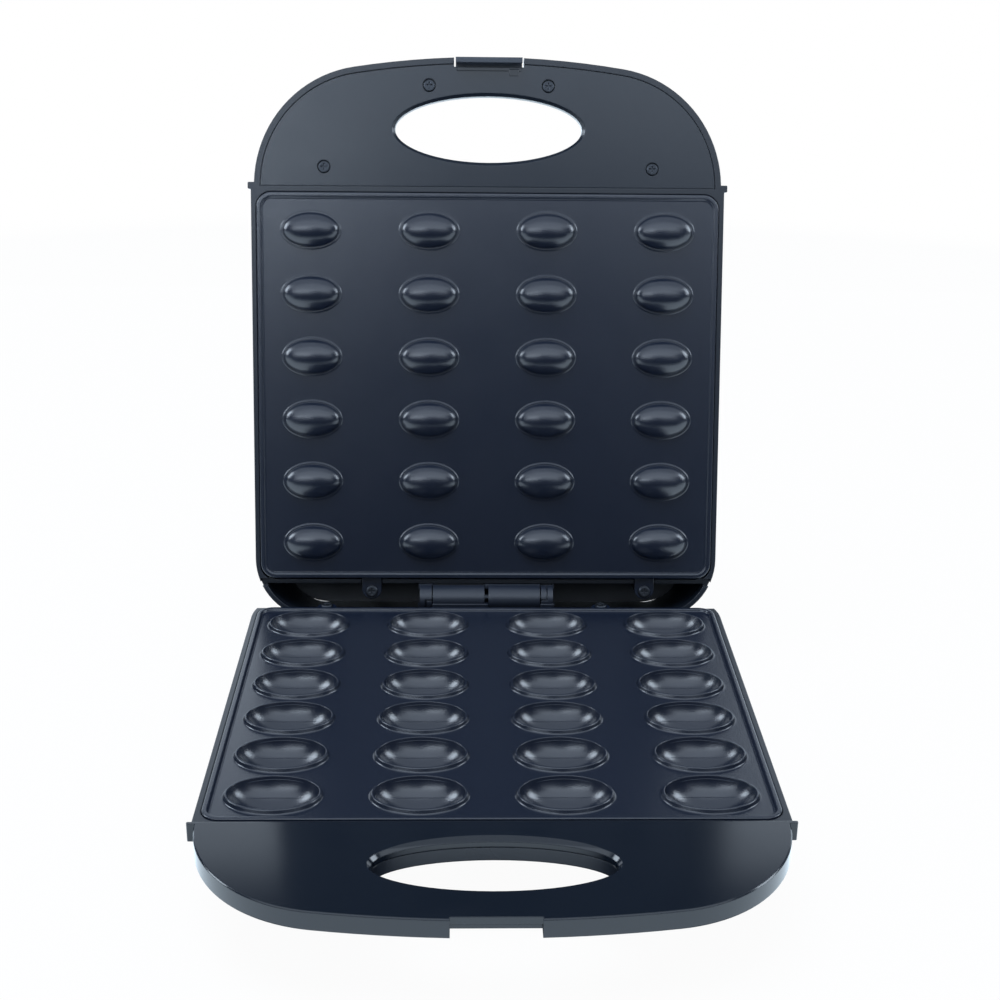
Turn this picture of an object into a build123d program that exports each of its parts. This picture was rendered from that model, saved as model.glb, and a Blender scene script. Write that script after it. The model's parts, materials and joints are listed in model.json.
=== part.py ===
from build123d import *
import os
from math import atan2, cos, hypot, radians, sin, sqrt, tan

# Walnut cake maker: two die-cast mould plates in moulded shells, hinged at the back.
# While it is modelled the hinge axis is the X axis, the parting plane of the closed
# maker is Z = 0 and a distance in front of the hinge is a minus Y. The lid is modelled
# shut and swung open at the end, and the whole is then set on its feet.

# Cake pattern
columns = 4
rows = 6
column_pitch = 62.0
row_pitch = 33.2
cavity_length = 39.0
cavity_width = 26.0
cavity_depth = 11.0
oval_end_share = 0.8  # radius of an oval's ends over half its width
cavity_wall = 2.2
rim_height = 2.0
rim_slope_run = 1.3
rim_land = 0.4
cup_draft = 25.0
dome_length = 29.5
dome_width = 18.0
dome_height = 5.6
dome_pad_margin = 1.0
dome_pad_height = 0.4

# Mould plates
plate_rear = 10.5  # hinge axis to the plates' rear edge
plate_side_margin = 9.0  # outermost cups to the plate's side edge
plate_end_margin = 6.5  # first and last row to the plate's rear and front edge
plate_thickness = 3.0
plate_corner = 8.0
lip_width = 3.0
lip_height = 1.3
lid_lip_height = 0.5
lid_plate_gap = 0.3  # parting plane to the face of the lid's plate
ear_width = 10.5
ear_reach = 11.8  # past the plate's rear edge
ear_screw_inset = 7.5
ear_thickness = 2.2
ear_drop = 2.0  # plate face to ear face
lid_ear_drop = 2.6
ear_outer_x = 86.0
ear_inner_x = 62.0
front_tab_x = 70.0
front_tab_reach = 8.0

# Shells
shell_depth = 40.0
shell_rim = 2.4  # beside the plates
shell_wall = 2.5
shell_corner = 33.0
rear_overhang = 12.0
belly_overhang = 12.3  # in front of the handle's seam
belly_front_taper = 51.0
belly_side_taper = 10.2
belly_base_corner = 26.0
belly_edge = 5.0
plate_clearance = 0.3
ledge_width = 1.8
base_rim_drop = 1.5
bulkhead_rear = 7.2
bulkhead_wall = 2.2
crossbar_wall = 1.7

# Handles
handle_step = 1.7  # shell's side to the handle's side
handle_length = 66.3
handle_thickness = 8.3
handle_corner = 62.0
crown_radius = 450.0
seam_gap = 1.2  # crossbar to the rear edge of both handle panels
handle_skin = 2.0
lid_rim = 3.1
panel_fit = 0.2
panel_thickness = 2.5
lid_panel_thickness = 2.2
lid_panel_inset = 0.6
handle_edge = 1.0
hole_setback = 29.6  # handle's seam to the middle of the opening
hole_length = 97.8
hole_width = 34.0
hole_edge = 1.6
collar_wall = 2.2
scoop_length = 96.0
scoop_width = 35.0
scoop_shift = 2.0
scoop_depth = 2.0
scoop_slope = 58.0
wall_lap = 1.8  # shell's wall ends this far behind the seam
lug_length = 1.7
lug_reach = 1.6

# Hinge
open_angle = 104.0
barrel_radius = 6.8
long_barrel = 27.7
short_knuckle = 6.4
middle_gap = 2.2  # between the two long barrels
barrel_gap = 0.6  # between neighbouring barrels
pin_radius = 2.0
pin_running_clearance = 0.05
pin_recess = 0.6
groove_width = 0.9
groove_depth = 1.3
base_groove_turn = 10.0  # degrees above the front
lid_groove_turn = 89.0
leaf_rear = 4.6
leaf_thickness = 2.4
leaf_margin = 0.8
leaf_screw_x = 24.0
leaf_screw_drop = 3.0
leaf_top = 0.8
stop_clearance = 0.3

# Latch
latch_width = 34.5
latch_side_gap = 0.9
latch_inset = 0.7  # handle's front to the outer face
latch_wall = 2.3
latch_lip_wall = 1.1
latch_hook_depth = 1.7
latch_hook_thickness = 1.55
latch_top = 7.9
latch_pin_inset = 5.8
latch_pin_height = 4.4
latch_pin_radius = 1.0
latch_barrel_radius = 2.0
latch_web_top = 1.0  # above the pin
latch_pocket_length = 9.0
latch_skin = 1.5  # over the pocket
latch_skin_reach = 0.8  # past the pin
latch_cheek = 3.0
latch_recess_width = 33.5
latch_recess_length = 1.9
latch_recess_depth = 0.5
latch_slot_width = 4.8
latch_slot_length = 3.4
latch_slot_x = 13.1
latch_slot_depth = 0.7
keeper_lip = 3.4
keeper_inset = 2.0
keeper_gap = 0.25
keeper_depth = 2.5

# Heating
heater_radius = 3.25
heater_gap = 0.3
heater_rear_margin = 15.5
heater_front_margin = 8.5
heater_terminal = 3.5  # in front of the plate's rear edge
clamp_width = 9.0
clamp_thickness = 1.2
clamp_post_radius = 2.6
clamp_screw_length = 6.0
reflector_sheet = 0.8
reflector_margin = 9.0
reflector_rim = 1.8
reflector_setback = 23.5  # behind the plate's front edge
reflector_corner = 14.0
reflector_post_x = 62.0
reflector_post_rear = 60.0
reflector_post_front = 150.0
reflector_post_radius = 4.0
thermostat_radius = 7.5
thermostat_height = 8.0
thermostat_shift = 5.0  # from the middle row gap
thermostat_ear = 4.0
fuse_shift = 24.0
fuse_radius = 2.0
fuse_length = 22.0

# Fasteners and fittings
screw_radius = 1.5
screw_head_radius = 3.1
screw_head_height = 1.5
screw_clearance = 0.35
pilot_fit = 0.02
boss_radius = 4.6
screw_engagement = 8.0
cross_width = 0.9
cross_length = 3.4
cross_depth = 0.8
screw_inner_x = 31.0
screw_outer_inset = 36.5  # from the handle's side
screw_inner_setback = 51.8  # from the handle's seam
lid_screw_outer_setback = 9.8
base_screw_outer_setback = 18.3
handle_screw_length = 4.0
foot_radius = 8.0
foot_height = 6.0
foot_draft = 8.0
foot_stem_radius = 3.0
foot_stem_length = 4.0
foot_side_inset = 24.0  # from the edges of the shell's floor
foot_front_inset = 20.0
foot_rear_inset = 26.0
vent_count = 7
vent_pitch = 8.0
vent_width = 3.0
vent_length = 36.0
vent_front = 92.0
gland_x = -78.0
gland_height = -29.0
gland_bore_radius = 3.6
gland_radius = 5.6
gland_flange_radius = 8.0
gland_flange = 2.0
gland_length = 9.0
clamp_bar_length = 26.0
clamp_bar_width = 7.0
clamp_bar_front = 2.5
terminal_x = 60.0
terminal_length = 34.0
terminal_width = 12.0
terminal_height = 9.0
terminal_rear = 20.0
terminal_bore = 2.0
lamp_x = 11.0
lamp_inset = 12.0  # from the front edge of the lid's top
lens_radius = 4.5
lens_flange_radius = 5.6
lens_flange = 1.2
lamp_radius = 2.4
lamp_length = 12.0

# Derived sizes
lean = open_angle - 90.0
plate_width = (columns - 1) * column_pitch + cavity_length + 2 * plate_side_margin
plate_length = (rows - 1) * row_pitch + cavity_width + 2 * plate_end_margin
first_row = plate_rear + plate_end_margin + cavity_width / 2
plate_front = plate_rear + plate_length
plate_middle = plate_rear + plate_length / 2
shell_width = plate_width + 2 * (plate_clearance + shell_rim)
crossbar = plate_front + plate_clearance
handle_seam = crossbar + crossbar_wall + seam_gap
handle_width = shell_width - 2 * handle_step
handle_reach = handle_seam + handle_length
hole_centre = handle_seam + hole_setback
lug_rear = handle_seam - wall_lap
lug_front = handle_seam + lug_length
belly_front = handle_seam + belly_overhang
belly_base_front = belly_front - belly_front_taper
belly_base_width = shell_width - 2 * belly_side_taper
screw_outer_x = handle_width / 2 - screw_outer_inset
screw_inner_front = handle_seam + screw_inner_setback
lid_screw_spots = (
    (screw_inner_x, screw_inner_front),
    (screw_outer_x, handle_seam + lid_screw_outer_setback),
)
base_screw_spots = (
    (screw_inner_x, screw_inner_front),
    (screw_outer_x, handle_seam + base_screw_outer_setback),
)
latch_face = handle_reach - latch_inset
latch_pin_front = handle_reach - latch_pin_inset
latch_pocket_rear = handle_reach - latch_pocket_length
latch_opening = latch_pin_front + latch_skin_reach
keeper_face = handle_reach - keeper_inset
foot_x = belly_base_width / 2 - foot_side_inset
foot_rear = foot_rear_inset - rear_overhang
foot_front = belly_base_front - foot_front_inset
lamp_front = belly_base_front - lamp_inset
heater_rear = plate_rear + heater_rear_margin
heater_front = plate_front - heater_front_margin - column_pitch / 2
reflector_front = plate_front - reflector_setback
face_level = -rim_height  # face of the base's plate
underside_level = face_level - plate_thickness
ear_level = face_level - ear_drop
lid_ear_level = lid_plate_gap + lid_ear_drop
ear_screw_front = plate_rear - ear_screw_inset
floor_level = -(shell_depth - shell_wall)
stop_level = -(rear_overhang * (1 + sin(radians(lean))) + stop_clearance) / cos(radians(lean))
shelf_under = stop_level - shell_wall
cup_bottom = -(cavity_depth + cavity_wall)
heater_level = cup_bottom - heater_gap - heater_radius
clamp_level = heater_level - heater_radius  # face of the clamps
clamp_front = first_row + (rows // 2 - 0.5) * row_pitch
thermostat_front = clamp_front + thermostat_shift
reflector_level = clamp_level - clamp_thickness - screw_head_height - heater_gap
bulkhead_front = bulkhead_rear + bulkhead_wall
far = 400.0  # longer than anything that is cut


def at(x, front, z=0.0):
    """A place given by its distance in front of the hinge axis."""
    return Pos(x, -front, z)


def zone(width, rear, front, corner, z=0.0):
    """A rounded rectangle between two distances in front of the hinge."""
    return at(0, (rear + front) / 2, z) * RectangleRounded(width, front - rear, corner)


def slab(rear, front, low, high, width=far, x=0.0):
    """A box between two distances in front of the hinge and two heights."""
    middle = at(x, (rear + front) / 2, (low + high) / 2)
    return middle * Box(width, front - rear, high - low)


def cylinder_z(x, front, low, high, radius):
    return at(x, front, low) * extrude(Circle(radius), high - low)


def cylinder_x(low, high, front, z, radius):
    """A round bar along X."""
    return at(low, front, z) * (Rot(0, 90, 0) * extrude(Circle(radius), high - low))


def handle_face(inset, rear, z=0.0):
    """Plan of a handle: straight sides, round corners and a slightly crowned front."""
    corner_x = handle_width / 2 - handle_corner
    crown_centre = handle_reach - crown_radius
    spread = crown_radius - handle_corner
    corner_front = crown_centre + sqrt(spread**2 - corner_x**2)
    corner = handle_corner - inset
    turn = atan2(corner_front - crown_centre, corner_x)
    half = handle_width / 2 - inset
    touch = (corner_x + corner * cos(turn), corner_front + corner * sin(turn))
    middle = (corner_x + corner * cos(turn / 2), corner_front + corner * sin(turn / 2))
    tip = (0.0, handle_reach - inset)
    right = [(half, plate_middle), (half, corner_front), middle, touch, tip]
    (ax, ar), (bx, br), (cx, cr), (dx, dr), (ex, er) = right
    edges = [
        Line((-ax, -ar), (ax, -ar)),
        Line((ax, -ar), (bx, -br)),
        ThreePointArc((bx, -br), (cx, -cr), (dx, -dr)),
        ThreePointArc((dx, -dr), (ex, -er), (-dx, -dr)),
        ThreePointArc((-dx, -dr), (-cx, -cr), (-bx, -br)),
        Line((-bx, -br), (-ax, -ar)),
    ]
    behind = at(0, rear - far / 2) * Rectangle(far, far)
    return Pos(0, 0, z) * (make_face(edges) - behind)


def cake_places():
    """Middle of each cake: X and the distance in front of the hinge."""
    first_column = -(columns - 1) / 2 * column_pitch
    for row in range(rows):
        for column in range(columns):
            yield first_column + column * column_pitch, first_row + row * row_pitch


def oval_cap(length, width, height):
    """Oval bowl from Z = 0 down by height, turned about X from three tangent arcs."""
    radius = ((width / 2) ** 2 + height**2) / (2 * height)
    rise = radius - height
    end = oval_end_share * radius
    end_x = length / 2 - sqrt(end**2 - rise**2)
    step = radius - end
    drop = (end_x**2 - step**2) / (2 * step)
    reach = hypot(end_x, drop)
    belly_radius = radius + drop
    touch_x = belly_radius * end_x / reach
    touch_y = belly_radius * drop / reach - drop
    turn = atan2(touch_y, touch_x - end_x) / 2
    side_x = end_x + end * cos(turn)
    side_y = end * sin(turn)
    tip = end_x + end
    profile = [
        Line((-tip, 0), (tip, 0)),
        ThreePointArc((tip, 0), (side_x, side_y), (touch_x, touch_y)),
        ThreePointArc((touch_x, touch_y), (0, radius), (-touch_x, touch_y)),
        ThreePointArc((-touch_x, touch_y), (-side_x, side_y), (-tip, 0)),
    ]
    return Pos(0, 0, rise) * revolve(make_face(profile), Axis.X)


def drafted_oval(length, width, height, run):
    """Oval plug from Z = 0 up by height, wider by run all round at its top end."""
    low = Ellipse(length / 2, width / 2)
    high = Pos(0, 0, height) * Ellipse(length / 2 + run, width / 2 + run)
    return loft([low, high], ruled=True)


def group(pieces):
    return Compound(children=[piece.solid() for piece in pieces])


def cross_screw(length):
    """Pan-head screw with a cross recess, head up, seat of the head at Z = 0."""
    head = extrude(Circle(screw_head_radius), screw_head_height)
    head = chamfer(head.edges().filter_by(GeomType.CIRCLE).group_by(Axis.Z)[-1], 0.5)
    shank = Pos(0, 0, -length) * extrude(Circle(screw_radius), length)
    recess_top = Pos(0, 0, screw_head_height - cross_depth / 2)
    recess = recess_top * Box(cross_length, cross_width, cross_depth)
    recess += recess_top * Box(cross_width, cross_length, cross_depth)
    return head + shank - recess


def screw_well(x, front, seat, depth, upward=False):
    """Pilot hole that a screw shank fills, going down from its mouth or up from it."""
    low = seat if upward else seat - depth
    return cylinder_z(x, front, low, low + depth, screw_radius + pilot_fit)


# Mould plates

def ear(x, z, direction):
    """Screw ear at a plate's rear edge, with a round end."""
    tip = plate_rear - ear_reach + ear_width / 2
    root = plate_rear + ear_width / 2
    plan = at(x, (tip + root) / 2) * Rectangle(ear_width, root - tip)
    plan += at(x, tip) * Circle(ear_width / 2)
    plan -= at(x, ear_screw_front) * Circle(screw_radius + screw_clearance)
    return Pos(0, 0, z) * extrude(plan, direction * ear_thickness)


def front_tab(x, z, direction):
    """Tab that hooks under the handle panel."""
    plan = at(x, plate_front) * Rectangle(ear_width, 2 * front_tab_reach)
    return Pos(0, 0, z) * extrude(plan, direction * ear_thickness)


def plate_blank(face, direction, lip):
    """Plate with its raised border lip. The face looks against the direction."""
    outer = zone(plate_width, plate_rear, plate_front, plate_corner, face)
    lip_inner_width = plate_width - 2 * lip_width
    inner = zone(lip_inner_width, plate_rear + lip_width, plate_front - lip_width,
                 plate_corner - lip_width, face)
    blank = extrude(outer, direction * plate_thickness)
    border = extrude(outer, -direction * lip)
    border -= extrude(inner, -direction * lip)
    return blank + border


def make_lower_mould_plate():
    plate = plate_blank(face_level, -1, lip_height)
    foot_margin = 2 * (rim_land + rim_slope_run)
    rim = drafted_oval(cavity_length + foot_margin, cavity_width + foot_margin,
                       rim_height, -rim_slope_run)
    cup_height = underside_level - cup_bottom
    cup_run = cup_height * tan(radians(cup_draft))
    cup = drafted_oval(cavity_length + cavity_wall - 2 * cup_run,
                       cavity_width + cavity_wall - 2 * cup_run, cup_height, cup_run)
    cavity = oval_cap(cavity_length, cavity_width, cavity_depth)
    plate += [at(x, front, face_level) * rim for x, front in cake_places()]
    plate += [at(x, front, cup_bottom) * cup for x, front in cake_places()]
    plate += [cylinder_z(x, front, clamp_level, underside_level, clamp_post_radius)
              for x, front in clamp_post_places()]
    plate -= [cylinder_z(x, front, clamp_level, underside_level - 1, screw_radius + pilot_fit)
              for x, front in clamp_post_places()]
    plate -= [at(x, front) * cavity for x, front in cake_places()]
    plate += ear(-ear_outer_x, ear_level, -1) + ear(ear_inner_x, ear_level, -1)
    plate += front_tab(-front_tab_x, ear_level, -1) + front_tab(front_tab_x, ear_level, -1)
    return plate


def make_upper_mould_plate():
    plate = plate_blank(lid_plate_gap, 1, lid_lip_height)
    pad_length = dome_length + 2 * dome_pad_margin
    pad_width = dome_width + 2 * dome_pad_margin
    pad = extrude(Ellipse(pad_length / 2, pad_width / 2), dome_pad_height)
    dome = oval_cap(dome_length, dome_width, dome_height)
    dome &= Pos(0, 0, -far / 2) * Box(far, far, far)
    button = Pos(0, 0, -dome_pad_height) * (pad + dome)
    plate += [at(x, front, lid_plate_gap) * button for x, front in cake_places()]
    top = lid_plate_gap + plate_thickness
    plate += [cylinder_z(x, front, top, -clamp_level, clamp_post_radius)
              for x, front in clamp_post_places()]
    plate -= [cylinder_z(x, front, top + 1, -clamp_level, screw_radius + pilot_fit)
              for x, front in clamp_post_places()]
    plate += ear(-ear_inner_x, lid_ear_level, 1) + ear(ear_outer_x, lid_ear_level, 1)
    plate += front_tab(-front_tab_x, lid_ear_level, 1) + front_tab(front_tab_x, lid_ear_level, 1)
    return plate


# Shells: both halves share one belly, drawn here for the base and mirrored for the lid

def belly(inset):
    """Body of a shell below the handle, tapering forward and to the sides."""
    top = zone(shell_width - 2 * inset, inset - rear_overhang, belly_front - inset,
               shell_corner - inset, -handle_thickness)
    foot = zone(belly_base_width - 2 * inset, inset - rear_overhang, belly_base_front - inset,
                belly_base_corner - inset, -shell_depth + inset)
    return loft([top, foot], ruled=True)


def shell_blank():
    """Outer form of a shell's cooking zone with its wall up to the parting plane."""
    blank = belly(0)
    lowest = blank.edges().group_by(Axis.Z)[0]
    front_half = [edge for edge in lowest if edge.center().Y < rear_overhang - 1]
    blank = chamfer(front_half, belly_edge)
    wall = zone(shell_width, -rear_overhang, lug_front, shell_corner, -handle_thickness)
    wall_front = slab(plate_middle, lug_front, -handle_thickness, 0, shell_width)
    return blank + extrude(wall, handle_thickness) + wall_front


def plate_seat(level):
    """Room for a plate and, beyond a ledge, for what is behind it."""
    seat_width = plate_width + 2 * plate_clearance
    seat = zone(seat_width, bulkhead_front, plate_front + plate_clearance,
                plate_corner + plate_clearance, level)
    opening = zone(seat_width - 2 * ledge_width, bulkhead_front,
                   plate_front + plate_clearance - ledge_width, plate_corner - 1,
                   -handle_thickness)
    room = extrude(seat, -level) + extrude(opening, handle_thickness)
    inner = belly(shell_wall)
    room += inner & slab(bulkhead_front, far, -shell_depth, 0)
    return room


def hole(length, width, low, high, z=0.0):
    plan = at(0, hole_centre, low) * Ellipse(length / 2, width / 2)
    return Pos(0, 0, z) * extrude(plan, high - low)


def collar(low, high):
    """Wall round the handle's opening."""
    outer = hole(hole_length + 2 * collar_wall, hole_width + 2 * collar_wall, low, high)
    return outer - hole(hole_length, hole_width, low, high)


def side_lugs(rear, low, high):
    """Small blocks that stand out at the sides where the handle begins."""
    inner = handle_width / 2 - handle_skin
    outer = shell_width / 2 + lug_reach
    right = slab(rear, lug_front, low, high, outer - inner, (inner + outer) / 2)
    upright = [edge for edge in right.edges().filter_by(Axis.Z) if edge.center().X > inner + 1]
    right = fillet(upright, lug_length / 3)
    return right + mirror(right, Plane.YZ)


def handle_screw_places(spots):
    for x, front in spots:
        yield x, front
        yield -x, front


def foot_places():
    for front in (foot_rear, foot_front):
        yield foot_x, front
        yield -foot_x, front


def make_bottom_housing():
    shell = shell_blank()
    shell -= slab(lug_rear, far, -handle_thickness, 0)
    tray_inset = handle_skin + panel_fit
    tray_top = -handle_thickness + handle_skin
    tray = extrude(handle_face(tray_inset, lug_rear - 5, -handle_thickness), handle_skin)
    shell += tray
    shell += slab(crossbar, crossbar + crossbar_wall, tray_top, -panel_thickness - panel_fit,
                  handle_width - 2 * tray_inset)
    shell -= plate_seat(underside_level)
    shell -= slab(-far, crossbar + crossbar_wall, -base_rim_drop, far)
    gutter = belly(shell_wall) & slab(-far, bulkhead_rear, -shell_depth, shelf_under)
    shell -= gutter
    shell -= slab(-far, bulkhead_rear, stop_level, far)
    shell -= slab(-far, bulkhead_front + 1, underside_level - panel_fit, far)
    for x in (-front_tab_x, front_tab_x):
        shell -= slab(crossbar - 3, plate_front + front_tab_reach + 1, underside_level - 1.4,
                      ear_level + panel_fit, ear_width + 1, x)
    for x in (-ear_outer_x, ear_inner_x):
        shell -= slab(bulkhead_rear - 1, bulkhead_front + 1,
                      ear_level - ear_thickness - panel_fit, 0, ear_width + 1, x)
    for x, front in reflector_post_places():
        shell += cylinder_z(x, front, floor_level, reflector_level - reflector_sheet,
                            reflector_post_radius)
    shell += collar(-handle_thickness - 2, -panel_thickness - 1.8)
    shell -= hole(hole_length, hole_width, -far, far)
    for x, front in handle_screw_places(base_screw_spots):
        shell += cylinder_z(x, front, tray_top, tray_top + handle_skin, boss_radius)
        shell -= cylinder_z(x, front, -far, -handle_thickness + screw_head_height + 0.3,
                            screw_head_radius + screw_clearance)
        shell -= cylinder_z(x, front, -far, far, screw_radius + screw_clearance)
    for x in (-ear_outer_x, ear_inner_x):
        seat = ear_level - ear_thickness
        shell += cylinder_z(x, ear_screw_front, shelf_under, seat, boss_radius)
        shell -= screw_well(x, ear_screw_front, seat, screw_engagement)
    for x, front in foot_places():
        shell -= cylinder_z(x, front, -far, floor_level + 1, foot_stem_radius + pilot_fit)
    for index in range(vent_count):
        x = (index - (vent_count - 1) / 2) * vent_pitch
        slot = at(x, vent_front) * SlotOverall(vent_length, vent_width, rotation=90)
        shell -= Pos(0, 0, -shell_depth - 1) * extrude(slot, shell_wall + 2)
    shell -= at(gland_x, 0, gland_height) * (Rot(-90, 0, 0) * extrude(Circle(gland_radius + pilot_fit), far))
    shell -= latch_keeper_cut()
    for x, z in leaf_screw_places():
        shell -= leaf_pilot(x, z)
    return shell.solid()


def latch_keeper_cut():
    """Notch in the front of the base under whose lip the latch hooks."""
    width = latch_width + 2 * keeper_gap
    in_front = slab(keeper_face, far, -far, far, width)
    under = slab(keeper_face - latch_hook_depth - keeper_depth, far, -far, -keeper_lip, width)
    return in_front + under


def make_base_handle_panel():
    """Glossy cover of the base's handle, with its skirt and the scooped opening."""
    block = extrude(handle_face(0, handle_seam, -handle_thickness), handle_thickness)
    top_front = [edge for edge in block.edges().group_by(Axis.Z)[-1]
                 if edge.center().Y < -handle_seam - 1]
    block = chamfer(top_front, handle_edge / 2)
    hollow = extrude(handle_face(handle_skin, handle_seam - 10, -handle_thickness),
                     handle_thickness - panel_thickness)
    panel = block + side_lugs(handle_seam, -handle_thickness, 0) - hollow
    panel += collar(-panel_thickness - 1.5, -panel_thickness)
    panel -= hole(hole_length, hole_width, -far, far)
    panel -= at(0, hole_centre, -hole_edge) * drafted_oval(hole_length, hole_width, hole_edge,
                                                           hole_edge)
    run = scoop_depth * tan(radians(scoop_slope))
    scoop = drafted_oval(scoop_length - 2 * run, scoop_width - 2 * run, scoop_depth, run)
    panel -= at(0, hole_centre - scoop_shift, -scoop_depth) * scoop
    for x, front in handle_screw_places(base_screw_spots):
        low = -handle_thickness + 2 * handle_skin + panel_fit
        panel += cylinder_z(x, front, low, -panel_thickness, boss_radius)
        panel -= screw_well(x, front, low, screw_engagement / 3, upward=True)
    panel += slab(keeper_face - handle_skin, keeper_face + handle_skin / 2, -keeper_lip,
                  -panel_thickness, latch_width + 2 * handle_skin)
    panel -= latch_keeper_cut()
    return panel.solid()


def make_lid_housing():
    """Lid shell, modelled shut: cooking zone, handle and opening in one moulding."""
    shell = mirror(shell_blank(), Plane.XY)
    handle = extrude(handle_face(0, lug_rear - 5), handle_thickness)
    top_front = [edge for edge in handle.edges().group_by(Axis.Z)[-1]
                 if edge.center().Y < -handle_seam - 1]
    handle = chamfer(top_front, handle_edge)
    room = extrude(handle_face(lid_rim, lug_rear + crossbar_wall, lid_plate_gap),
                   handle_thickness - handle_skin - lid_plate_gap)
    shell -= slab(lug_front, far, 0, handle_thickness)
    shell -= slab(-far, far, -far, lid_plate_gap)
    shell += handle & slab(-far, far, lid_plate_gap, far)
    shell += side_lugs(lug_rear, lid_plate_gap, handle_thickness)
    shell -= mirror(plate_seat(-(lid_plate_gap + plate_thickness)), Plane.XY)
    rear_room = mirror(belly(shell_wall), Plane.XY)
    rear_room += extrude(zone(shell_width - 2 * shell_wall, shell_wall - rear_overhang,
                              belly_front - shell_wall, shell_corner - shell_wall),
                         handle_thickness)
    shell -= rear_room & slab(-far, bulkhead_rear, -1, shell_depth)
    plate_top = lid_plate_gap + plate_thickness
    shell -= slab(bulkhead_rear - 1, bulkhead_front + 1, -1, plate_top + panel_fit,
                  shell_width - 2 * shell_wall)
    shell -= room
    for x in (-front_tab_x, front_tab_x):
        shell -= slab(plate_front - 3, plate_front + front_tab_reach + 1, lid_ear_level - panel_fit,
                      lid_ear_level + ear_thickness + 1.4, ear_width + 1, x)
    shell += collar(lid_panel_inset + lid_panel_thickness + 0.3, handle_thickness)
    shell -= hole(hole_length, hole_width, -far, far)
    for x, front in handle_screw_places(lid_screw_spots):
        seat = lid_panel_inset + lid_panel_thickness
        shell += cylinder_z(x, front, seat, handle_thickness - handle_skin, boss_radius)
        shell -= screw_well(x, front, seat, screw_engagement / 2, upward=True)
    for x in (-ear_inner_x, ear_outer_x):
        seat = lid_ear_level + ear_thickness
        shell += cylinder_z(x, ear_screw_front, seat, shell_depth - shell_wall, boss_radius)
        shell -= screw_well(x, ear_screw_front, seat, screw_engagement, upward=True)
        shell -= slab(bulkhead_rear - 1, bulkhead_front + 1, 0, seat + panel_fit, ear_width + 1, x)
    for x in (-ear_outer_x, ear_inner_x):
        shell -= slab(-far, bulkhead_rear - 1, -1, rear_relief_height(), 2 * boss_radius + 4, x)
    for x, front in reflector_post_places():
        shell += cylinder_z(x, front, reflector_sheet - reflector_level, -floor_level,
                            reflector_post_radius)
    shell -= latch_pocket()
    shell += latch_cheeks()
    for x in (-lamp_x, lamp_x):
        shell -= cylinder_z(x, lamp_front, 0, far, lens_radius + pilot_fit)
    for x, z in leaf_screw_places():
        shell -= Rot(0, 180, 0) * leaf_pilot(x, z)
    return shell.solid()


def rear_relief_height():
    """How far the lid's rear wall is cut up so that it swings past a boss of the base."""
    reach = boss_radius - ear_screw_front + 2 * stop_clearance
    return (reach + rear_overhang * sin(radians(lean))) / cos(radians(lean))


def latch_pocket():
    """Opening in the front of the lid's handle that holds the latch."""
    width = latch_width + 2 * latch_side_gap
    room = slab(latch_pocket_rear, far, -far, handle_thickness - latch_skin, width)
    return room + slab(latch_opening, far, -far, far, width)


def latch_cheeks():
    """Walls beside the pocket that carry the latch pin."""
    inner = latch_width / 2 + latch_side_gap
    height = handle_thickness - handle_skin
    low = lid_panel_inset + lid_panel_thickness + 0.3
    front = handle_reach - lid_rim
    right = slab(latch_pocket_rear, front, low, height, latch_cheek, inner + latch_cheek / 2)
    right -= cylinder_x(0, far, latch_pin_front, latch_pin_height, latch_pin_radius + pilot_fit)
    back = slab(latch_pocket_rear - handle_skin, latch_pocket_rear, low, height,
                2 * (inner + latch_cheek))
    return right + mirror(right, Plane.YZ) + back


def make_lid_handle_panel():
    """Satin inner panel of the lid's handle, held by four screws."""
    plan = handle_face(lid_rim + panel_fit, handle_seam, lid_panel_inset)
    panel = extrude(plan, lid_panel_thickness)
    panel -= hole(hole_length, hole_width, -far, far)
    panel -= at(0, hole_centre, lid_panel_inset) * drafted_oval(
        hole_length + 2 * hole_edge, hole_width + 2 * hole_edge, hole_edge, -hole_edge)
    for x, front in handle_screw_places(lid_screw_spots):
        panel -= cylinder_z(x, front, -far, lid_panel_inset + screw_head_height - 0.2,
                            screw_head_radius + screw_clearance)
        panel -= cylinder_z(x, front, -far, far, screw_radius + screw_clearance)
    return (panel - latch_clearances()).solid()


def latch_clearances():
    """What the latch needs of the lid's panel: its way out, room for its barrel, a recess."""
    width = latch_width + 2 * latch_side_gap
    barrel_low = latch_pin_height - latch_barrel_radius
    cut = slab(latch_opening, far, -far, far, width)
    cut += slab(latch_pin_front - latch_barrel_radius - 0.4, far, barrel_low - 0.4, far, width)
    cut += slab(latch_opening - latch_recess_length, far, -far,
                lid_panel_inset + latch_recess_depth, latch_recess_width)
    slot_front = latch_opening - latch_recess_length / 2
    cut += slab(slot_front - latch_slot_length, slot_front, -far,
                lid_panel_inset + latch_slot_depth, latch_slot_width, latch_slot_x)
    return cut


# Hinge: the lid's leaf is the base's leaf turned half round about the Y axis

def barrel_spans():
    """Where the base's long barrel and short knuckle lie along X."""
    near = middle_gap / 2
    short_start = near + long_barrel + barrel_gap
    return (-near - long_barrel, -near), (short_start, short_start + short_knuckle)


def leaf_screw_places():
    for x in (-leaf_screw_x, leaf_screw_x):
        yield x, stop_level / 2 - leaf_screw_drop


def leaf_pilot(x, z):
    hole_y = extrude(Circle(screw_radius + pilot_fit), bulkhead_wall + 2)
    return at(x, leaf_rear + leaf_thickness, z) * (Rot(90, 0, 0) * hole_y)


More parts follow.
